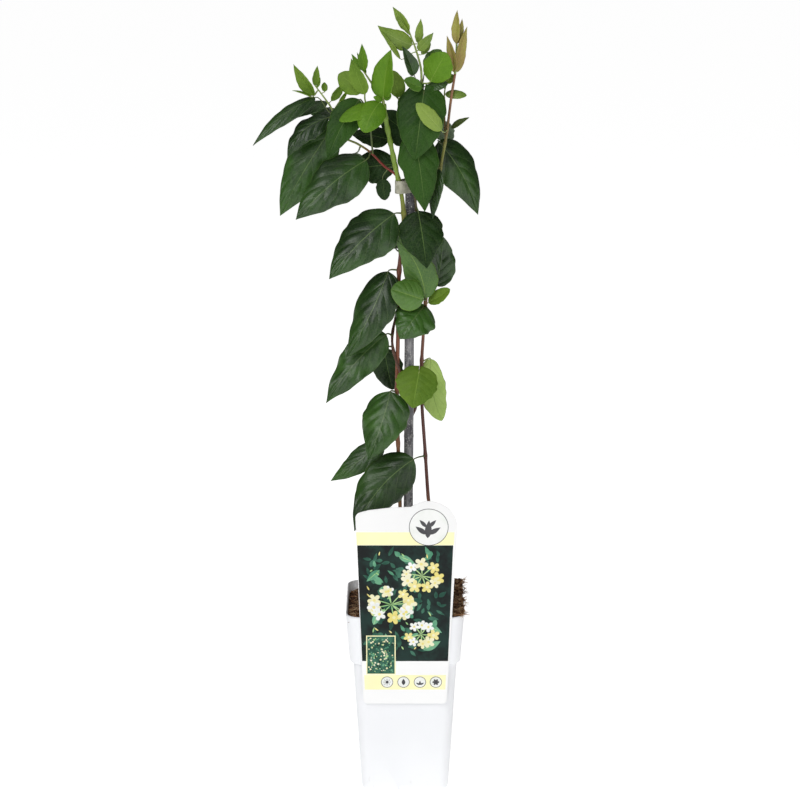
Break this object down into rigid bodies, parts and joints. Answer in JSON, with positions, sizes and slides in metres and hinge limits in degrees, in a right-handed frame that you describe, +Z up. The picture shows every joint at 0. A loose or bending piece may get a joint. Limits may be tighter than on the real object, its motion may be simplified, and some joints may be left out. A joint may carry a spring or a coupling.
{
  "type": "potted honeysuckle vine",
  "caption": "Evergreen climbing vine of leafy twining stems on a cane, in a tall square white nursery pot with a hooked-on plant label.",
  "frame": {"origin": "centre of the pot's underside, on the ground it rests on", "axes": "+Z up along the pot and the cane, -Y towards the front, where the label hangs, +X to the right seen from the front"},
  "size_m": [0.2095, 0.1232, 0.7513],
  "materials": {
    "bark": "reddish brown bark, olive green towards the tips",
    "cane": "weathered mottled grey cane",
    "card": "satin white card with a printed design",
    "leaf_bright": "bright fresh green young leaf",
    "leaf_copper": "olive to copper opening leaf",
    "leaf_dark": "glossy dark green, evergreen leaf",
    "leaf_light": "matte light green young leaf",
    "leaf_lime": "yellow-green young leaf",
    "leaf_mid": "mid green leaf",
    "leaf_olive": "olive green leaf",
    "leaf_pale": "matte pale green leaf underside",
    "pot": "smooth white moulded plastic",
    "soil": "dark brown fibrous potting mix",
    "tie": "soft grey-beige band"
  },
  "bodies": {
    "root": {"cane": "cane", "label": "card", "leaf_bottom": "leaf_dark", "leaf_centre_blunt": "leaf_mid", "leaf_centre_curled": "leaf_dark", "leaf_centre_pale": "leaf_mid", "leaf_centre_upper": "leaf_dark", "leaf_crown_back": "leaf_mid", "leaf_crown_bright": "leaf_bright", "leaf_crown_front": "leaf_mid", "leaf_crown_left": "leaf_light", "leaf_crown_shade": "leaf_dark", "leaf_crown_upright": "leaf_dark", "leaf_front_lower": "leaf_dark", "leaf_front_upper": "leaf_dark", "leaf_heart": "leaf_light", "leaf_left_broad": "leaf_dark", "leaf_left_crinkled": "leaf_dark", "leaf_left_hanging": "leaf_dark", "leaf_left_hidden": "leaf_dark", "leaf_left_long": "leaf_dark", "leaf_left_long_pair": "leaf_dark", "leaf_left_lower": "leaf_dark", "leaf_left_middle": "leaf_dark", "leaf_left_rear": "leaf_dark", "leaf_left_shaded": "leaf_dark", "leaf_left_small": "leaf_dark", "leaf_left_upper": "leaf_dark", "leaf_left_wavy": "leaf_dark", "leaf_pale_hanging": "leaf_pale", "leaf_rear_crown": "leaf_dark", "leaf_rear_left": "leaf_dark", "leaf_rear_lower": "leaf_dark", "leaf_rear_middle": "leaf_dark", "leaf_rear_right": "leaf_dark", "leaf_rear_upper": "leaf_dark", "leaf_right_broad": "leaf_dark", "leaf_right_bud": "leaf_light", "leaf_right_cupped": "leaf_dark", "leaf_right_narrow": "leaf_dark", "leaf_right_young": "leaf_lime", "leaf_right_young_pair": "leaf_olive", "leaf_shade_hanging": "leaf_olive", "leaf_shade_left": "leaf_dark", "leaf_shade_low": "leaf_dark", "leaf_shade_right": "leaf_dark", "pot": "pot", "shoot_bright": "leaf_bright", "shoot_crown": "leaf_lime", "shoot_left": "leaf_light", "shoot_middle": "leaf_light", "shoot_side": "leaf_lime", "shoot_tip": "leaf_copper", "soil": "soil", "stem_left": "bark", "stem_right": "bark", "stem_twining": "bark", "tie": "tie"}
  },
  "joints": []
}
